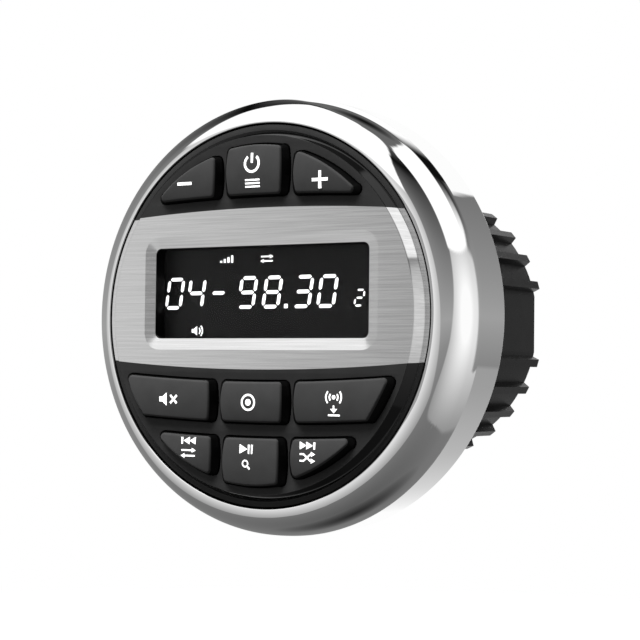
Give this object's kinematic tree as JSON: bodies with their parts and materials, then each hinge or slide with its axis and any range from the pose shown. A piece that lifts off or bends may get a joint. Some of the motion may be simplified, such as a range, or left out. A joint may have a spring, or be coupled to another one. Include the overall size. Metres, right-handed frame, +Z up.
{
  "type": "marine stereo",
  "caption": "Round flush-mount marine stereo with a chrome bezel, brushed band around a display, push keys, and a finned rear body for a gauge hole.",
  "frame": {"origin": "centre of the dash seat, the rear face of the gasket, on the axis of the round body", "axes": "+Z up, +Y back into the dash along the body, so the face looks towards -Y, and +X to the right of the face"},
  "size_m": [0.108, 0.11, 0.108],
  "materials": {
    "chrome_bezel": "polished chrome",
    "face_black": "fine satin moulding",
    "fascia_aluminium": "brushed along the band",
    "lens_clear": "tinted clear window",
    "display_dark": "dark display glass",
    "white_plastic": "moulded",
    "inner_black": "moulded",
    "keypad_silicone": "matt silicone",
    "contact_rubber": "matt",
    "seal_rubber": "matt black",
    "board_green": "solder mask",
    "contact_gold": "plated pads",
    "screw_steel": "stainless",
    "body_black": "die cast, satin black paint",
    "key_soft": "soft touch",
    "chip_black": "moulded epoxy",
    "clamp_aluminium": "mill finish",
    "capacitor_sleeve": "shrunk sleeve",
    "coil_copper": "enamelled copper",
    "can_tin": "tinned",
    "module_blue": "solder mask",
    "ribbon_grey": "flexible jacket",
    "gland_nylon": "moulded nylon",
    "socket_nickel": "nickel plated"
  },
  "bodies": {
    "chassis": {"bezel_ring": "chrome_bezel", "face_panel": "face_black", "fascia_plate": "fascia_aluminium", "display_lens": "lens_clear", "lcd_glass": "display_dark", "lcd_backlight": "white_plastic", "key_lamps": "white_plastic", "front_header": "white_plastic", "main_header": "white_plastic", "harness_header": "white_plastic", "lcd_frame": "inner_black", "front_housing": "inner_black", "keypad_mat": "keypad_silicone", "lcd_contact_strips": "contact_rubber", "dash_gasket": "seal_rubber", "housing_seal": "seal_rubber", "cover_seal": "seal_rubber", "front_board": "board_green", "main_board": "board_green", "key_contacts": "contact_gold", "front_board_screws": "screw_steel", "face_screws": "screw_steel", "bezel_screws": "screw_steel", "housing_screws": "screw_steel", "cover_screws": "screw_steel", "main_board_screws": "screw_steel", "clamp_screws": "screw_steel", "mounting_studs": "screw_steel", "rear_housing": "body_black", "rear_cover": "body_black", "amplifier_chip": "chip_black", "amplifier_clamp": "clamp_aluminium", "filter_capacitors": "capacitor_sleeve", "choke_coil": "coil_copper", "tuner_can": "can_tin", "wireless_module": "module_blue", "ribbon_cable": "ribbon_grey", "cable_gland": "gland_nylon", "gland_nut": "gland_nylon", "antenna_socket": "socket_nickel", "socket_nut": "socket_nickel"},
    "key_volume_down_body": {"key_volume_down": "key_soft", "plunger_volume_down": "keypad_silicone"},
    "key_power_body": {"key_power": "key_soft", "plunger_power": "keypad_silicone"},
    "key_volume_up_body": {"key_volume_up": "key_soft", "plunger_volume_up": "keypad_silicone"},
    "key_mute_body": {"key_mute": "key_soft", "plunger_mute": "keypad_silicone"},
    "key_select_body": {"key_select": "key_soft", "plunger_select": "keypad_silicone"},
    "key_source_body": {"key_source": "key_soft", "plunger_source": "keypad_silicone"},
    "key_previous_body": {"key_previous": "key_soft", "plunger_previous": "keypad_silicone"},
    "key_play_body": {"key_play": "key_soft", "plunger_play": "keypad_silicone"},
    "key_next_body": {"key_next": "key_soft", "plunger_next": "keypad_silicone"}
  },
  "joints": [
    {"name": "press_volume_down", "type": "slide", "parent": "chassis", "child": "key_volume_down_body", "axis": [0, 1, 0], "range_m": [0, 0.001], "stiffness_N_per_m": 1200, "springref_m": -0.0008},
    {"name": "press_power", "type": "slide", "parent": "chassis", "child": "key_power_body", "axis": [0, 1, 0], "range_m": [0, 0.001], "stiffness_N_per_m": 1200, "springref_m": -0.0008},
    {"name": "press_volume_up", "type": "slide", "parent": "chassis", "child": "key_volume_up_body", "axis": [0, 1, 0], "range_m": [0, 0.001], "stiffness_N_per_m": 1200, "springref_m": -0.0008},
    {"name": "press_mute", "type": "slide", "parent": "chassis", "child": "key_mute_body", "axis": [0, 1, 0], "range_m": [0, 0.001], "stiffness_N_per_m": 1200, "springref_m": -0.0008},
    {"name": "press_select", "type": "slide", "parent": "chassis", "child": "key_select_body", "axis": [0, 1, 0], "range_m": [0, 0.001], "stiffness_N_per_m": 1200, "springref_m": -0.0008},
    {"name": "press_source", "type": "slide", "parent": "chassis", "child": "key_source_body", "axis": [0, 1, 0], "range_m": [0, 0.001], "stiffness_N_per_m": 1200, "springref_m": -0.0008},
    {"name": "press_previous", "type": "slide", "parent": "chassis", "child": "key_previous_body", "axis": [0, 1, 0], "range_m": [0, 0.001], "stiffness_N_per_m": 1200, "springref_m": -0.0008},
    {"name": "press_play", "type": "slide", "parent": "chassis", "child": "key_play_body", "axis": [0, 1, 0], "range_m": [0, 0.001], "stiffness_N_per_m": 1200, "springref_m": -0.0008},
    {"name": "press_next", "type": "slide", "parent": "chassis", "child": "key_next_body", "axis": [0, 1, 0], "range_m": [0, 0.001], "stiffness_N_per_m": 1200, "springref_m": -0.0008}
  ]
}
